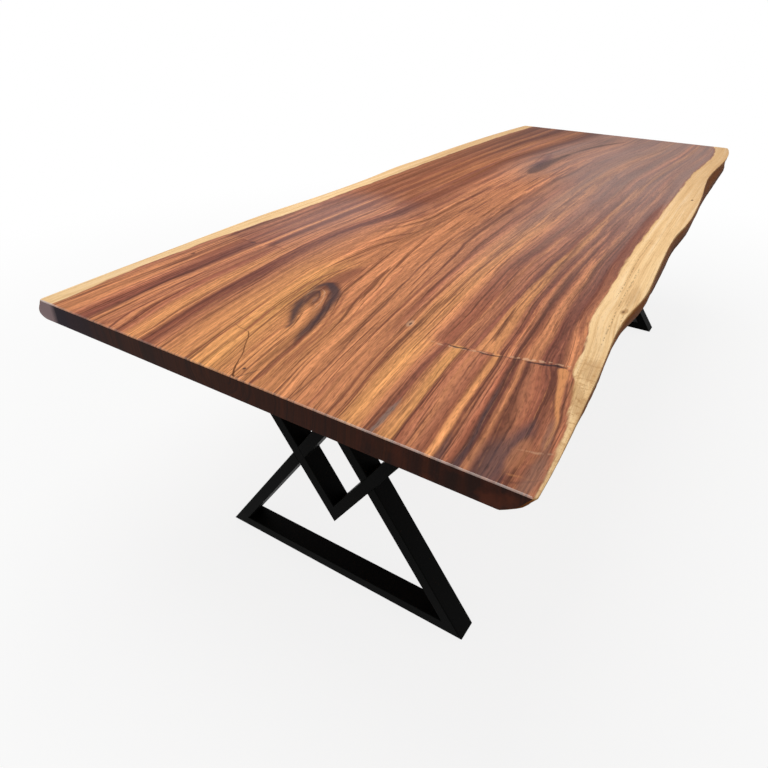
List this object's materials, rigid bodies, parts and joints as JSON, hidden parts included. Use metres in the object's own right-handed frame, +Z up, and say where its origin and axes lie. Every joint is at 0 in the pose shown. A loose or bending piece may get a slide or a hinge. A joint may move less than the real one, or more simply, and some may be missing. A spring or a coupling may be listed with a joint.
{
  "type": "live edge dining table",
  "caption": "Long dining table: a thick live edge hardwood slab screwed to black steel frames of crossed triangles.",
  "frame": {"origin": "on the floor, under the middle of the slab's overall length and width", "axes": "+X along the slab towards its narrower far end, +Y towards the straighter long edge, +Z up"},
  "size_m": [2.71, 1.1789, 0.76],
  "materials": {
    "oiled_slab": "clear satin varnish",
    "black_powder_coat": "satin black powder coat",
    "zinc_plated_steel": "zinc plated",
    "brass_insert": "machined",
    "felt_pad": "pressed felt"
  },
  "bodies": {
    "root": {"slab_top": "oiled_slab", "near_base_bar": "black_powder_coat", "near_left_leg_lower": "black_powder_coat", "near_right_leg_lower": "black_powder_coat", "near_left_leg_upper": "black_powder_coat", "near_right_leg_upper": "black_powder_coat", "near_left_arm": "black_powder_coat", "near_right_arm": "black_powder_coat", "near_mount_plate": "black_powder_coat", "near_bolts": "zinc_plated_steel", "near_washers": "zinc_plated_steel", "near_inserts": "brass_insert", "near_floor_pads": "felt_pad", "far_base_bar": "black_powder_coat", "far_left_leg_lower": "black_powder_coat", "far_right_leg_lower": "black_powder_coat", "far_left_leg_upper": "black_powder_coat", "far_right_leg_upper": "black_powder_coat", "far_left_arm": "black_powder_coat", "far_right_arm": "black_powder_coat", "far_mount_plate": "black_powder_coat", "far_bolts": "zinc_plated_steel", "far_washers": "zinc_plated_steel", "far_inserts": "brass_insert", "far_floor_pads": "felt_pad"}
  },
  "joints": []
}
